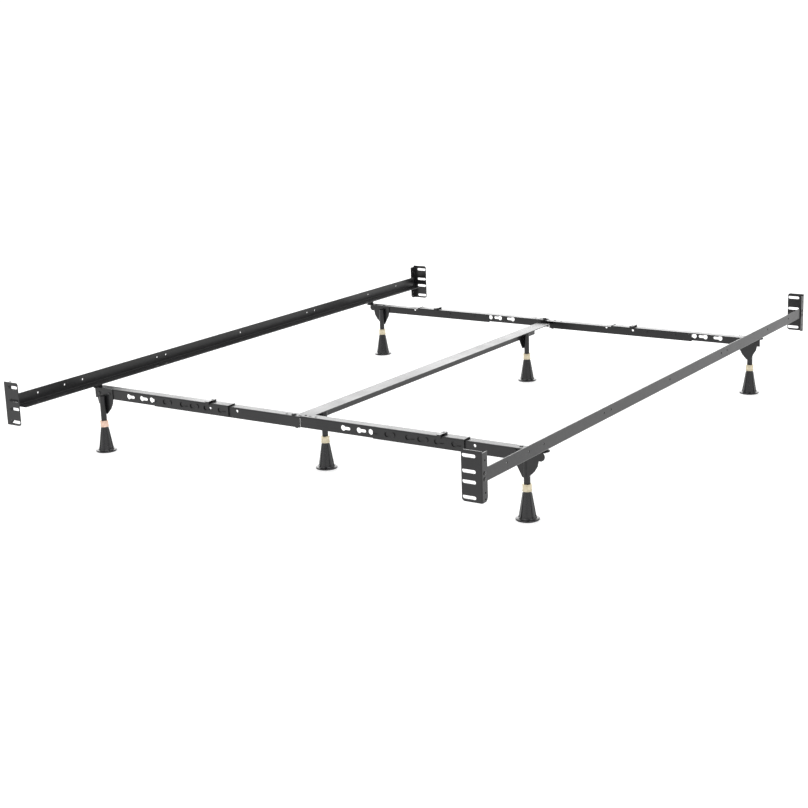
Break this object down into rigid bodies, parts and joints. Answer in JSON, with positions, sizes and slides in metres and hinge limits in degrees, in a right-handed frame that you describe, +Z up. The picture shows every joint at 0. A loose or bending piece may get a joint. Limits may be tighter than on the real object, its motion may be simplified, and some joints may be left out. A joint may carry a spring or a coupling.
{
  "type": "metal bed frame",
  "caption": "Low steel bed frame: angle side rails with slotted end plates, telescoping keyholed cross arms, a centre beam and legs on round plastic glides.",
  "frame": {"origin": "on the floor at the middle of the frame's footprint", "axes": "+X across the bed from the left rail to the right, +Y along the rails from the near end to the far end, +Z up"},
  "size_m": [1.539, 2.0732, 0.2707],
  "materials": {
    "black_paint": "satin black powder coat",
    "black_fastener": "painted over with the frame, slightly glossier on the heads",
    "steel_stem": "plain drawn steel",
    "brass_ring": "brushed brass plate",
    "foot_plastic": "moulded, slightly glossy on the ribs"
  },
  "bodies": {
    "center_beam": {"center_beam": "black_paint", "beam_bolts": "black_fastener", "beam_spacers": "black_fastener", "front_center_leg_bracket": "black_paint", "back_center_leg_bracket": "black_paint", "center_leg_rivets": "black_fastener"},
    "front_cross": {"front_center_left_arm": "black_paint", "front_center_right_arm": "black_paint", "front_splice": "black_paint", "front_center_rivets": "black_fastener", "front_right_clip": "black_fastener"},
    "back_cross": {"back_center_right_arm": "black_paint", "back_center_left_arm": "black_paint", "back_splice": "black_paint", "back_center_rivets": "black_fastener", "back_left_clip": "black_fastener"},
    "left_arm_front": {"front_left_arm": "black_paint", "front_left_leg_bracket": "black_paint", "front_left_rivets": "black_fastener", "front_left_clip": "black_fastener"},
    "right_arm_front": {"front_right_arm": "black_paint", "front_right_leg_bracket": "black_paint", "front_right_rivets": "black_fastener"},
    "right_arm_back": {"back_right_arm": "black_paint", "back_right_leg_bracket": "black_paint", "back_right_rivets": "black_fastener", "back_right_clip": "black_fastener"},
    "left_arm_back": {"back_left_arm": "black_paint", "back_left_leg_bracket": "black_paint", "back_left_rivets": "black_fastener"},
    "left_rail": {"left_rail_upright": "black_paint", "left_rail_seat": "black_paint", "left_front_bracket": "black_paint", "left_back_bracket": "black_paint", "left_rail_rivets": "black_fastener", "left_pivot_spacers": "black_fastener"},
    "right_rail": {"right_rail_upright": "black_paint", "right_rail_seat": "black_paint", "right_front_bracket": "black_paint", "right_back_bracket": "black_paint", "right_rail_rivets": "black_fastener", "right_pivot_spacers": "black_fastener"},
    "front_left_glide": {"front_left_ring": "brass_ring", "front_left_stem": "steel_stem", "front_left_foot": "foot_plastic"},
    "front_right_glide": {"front_right_ring": "brass_ring", "front_right_stem": "steel_stem", "front_right_foot": "foot_plastic"},
    "back_right_glide": {"back_right_ring": "brass_ring", "back_right_stem": "steel_stem", "back_right_foot": "foot_plastic"},
    "back_left_glide": {"back_left_ring": "brass_ring", "back_left_stem": "steel_stem", "back_left_foot": "foot_plastic"},
    "front_center_glide": {"front_center_ring": "brass_ring", "front_center_stem": "steel_stem", "front_center_foot": "foot_plastic"},
    "back_center_glide": {"back_center_ring": "brass_ring", "back_center_stem": "steel_stem", "back_center_foot": "foot_plastic"}
  },
  "joints": [
    {"name": "fold", "type": "hinge", "parent": "center_beam", "child": "front_cross", "pos_m": [-0.02, -0.701, 0.18], "axis": [0, 0, 1], "range_deg": [0, 40]},
    {"name": "back_fold", "type": "hinge", "parent": "center_beam", "child": "back_cross", "pos_m": [-0.02, 0.701, 0.18], "axis": [0, 0, 1], "range_deg": [0, 40]},
    {"name": "left_slide", "type": "slide", "parent": "front_cross", "child": "left_arm_front", "axis": [1, 0, 0], "range_m": [0, 0.0175]},
    {"name": "left_back_slide", "type": "slide", "parent": "back_cross", "child": "left_arm_back", "axis": [1, 0, 0], "range_m": [0, 0.0175]},
    {"name": "right_slide", "type": "slide", "parent": "back_cross", "child": "right_arm_back", "axis": [-1, 0, 0], "range_m": [0, 0.0175]},
    {"name": "right_front_slide", "type": "slide", "parent": "front_cross", "child": "right_arm_front", "axis": [-1, 0, 0], "range_m": [0, 0.0175]},
    {"name": "left_rail_pivot", "type": "hinge", "parent": "left_arm_front", "child": "left_rail", "pos_m": [-0.742, -0.701, 0.19], "axis": [0, 0, 1], "range_deg": [-40, 0]},
    {"name": "right_rail_pivot", "type": "hinge", "parent": "right_arm_back", "child": "right_rail", "pos_m": [0.742, 0.701, 0.19], "axis": [0, 0, 1], "range_deg": [-40, 0]},
    {"name": "front_left_turn", "type": "hinge", "parent": "left_arm_front", "child": "front_left_glide", "pos_m": [-0.7055, -0.7262, 0.1], "axis": [0, 0, 1], "continuous": true},
    {"name": "front_right_turn", "type": "hinge", "parent": "right_arm_front", "child": "front_right_glide", "pos_m": [0.694, -0.7006, 0.1], "axis": [0, 0, 1], "continuous": true},
    {"name": "back_right_turn", "type": "hinge", "parent": "right_arm_back", "child": "back_right_glide", "pos_m": [0.7055, 0.7262, 0.1], "axis": [0, 0, 1], "continuous": true},
    {"name": "back_left_turn", "type": "hinge", "parent": "left_arm_back", "child": "back_left_glide", "pos_m": [-0.694, 0.7006, 0.1], "axis": [0, 0, 1], "continuous": true},
    {"name": "front_center_turn", "type": "hinge", "parent": "center_beam", "child": "front_center_glide", "pos_m": [-0.01725, -0.57, 0.1], "axis": [0, 0, 1], "continuous": true},
    {"name": "back_center_turn", "type": "hinge", "parent": "center_beam", "child": "back_center_glide", "pos_m": [-0.01725, 0.57, 0.1], "axis": [0, 0, 1], "continuous": true}
  ],
  "couplings": [
    {"joint": "back_fold", "follows": "fold", "ratio": 1},
    {"joint": "left_rail_pivot", "follows": "fold", "ratio": -1},
    {"joint": "right_rail_pivot", "follows": "fold", "ratio": -1},
    {"joint": "left_back_slide", "follows": "left_slide", "ratio": 1},
    {"joint": "right_front_slide", "follows": "right_slide", "ratio": 1}
  ]
}
